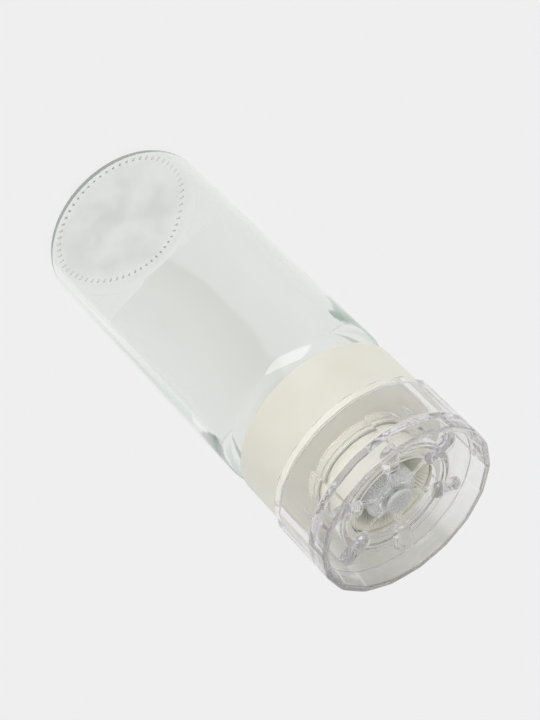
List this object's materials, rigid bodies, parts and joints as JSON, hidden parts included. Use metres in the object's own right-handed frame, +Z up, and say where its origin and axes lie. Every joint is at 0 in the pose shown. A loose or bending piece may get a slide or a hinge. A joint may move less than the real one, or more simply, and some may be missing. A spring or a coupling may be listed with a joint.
{
  "type": "spice mill jar",
  "caption": "Round glass jar with a screw-on plastic collar and a clear turning grinder head that grinds whole spice through toothed burrs.",
  "frame": {"origin": "centre of the jar's bearing ring, on the surface it stands on", "axes": "+Z up the jar's axis from the base to the mill; the pieces are round about it, and +X points at the start of the screw thread"},
  "size_m": [0.0514, 0.052, 0.133],
  "materials": {
    "jar_glass": "clear, faintly green bottle glass",
    "seal_foam": "matt foam liner",
    "collar_cream": "satin cream plastic",
    "burr_cream": "satin yellowish cream plastic",
    "ring_plastic": "satin off-white plastic",
    "head_clear": "clear moulded plastic",
    "cone_clear": "clear plastic, frosted on the teeth",
    "spindle_clear": "clear moulded plastic",
    "clip_plastic": "satin off-white plastic"
  },
  "bodies": {
    "jar": {"glass_jar": "jar_glass"},
    "seal": {"neck_seal": "seal_foam"},
    "base": {"collar": "collar_cream", "burr_ring": "burr_cream"},
    "ring": {"retaining_ring": "ring_plastic"},
    "head": {"grinder_head": "head_clear", "burr_cone": "cone_clear", "spindle": "spindle_clear", "cone_clip": "clip_plastic"}
  },
  "joints": [
    {"name": "mill_lift", "type": "slide", "parent": "jar", "child": "seal", "axis": [0, 0, 1], "range_m": [0, 0.0161]},
    {"name": "mill_unscrew", "type": "hinge", "parent": "seal", "child": "base", "pos_m": [0, 0, 0.112], "axis": [0, 0, 1], "range_deg": [0, 1440]},
    {"name": "grind_set", "type": "slide", "parent": "base", "child": "ring", "axis": [0, 0, 1], "range_m": [0, 0.00125]},
    {"name": "head_turn", "type": "hinge", "parent": "ring", "child": "head", "pos_m": [0, 0, 0.1259], "axis": [0, 0, 1], "continuous": true}
  ],
  "couplings": [
    {"joint": "mill_lift", "follows": "mill_unscrew", "m_per_rad": 0.00063662}
  ]
}
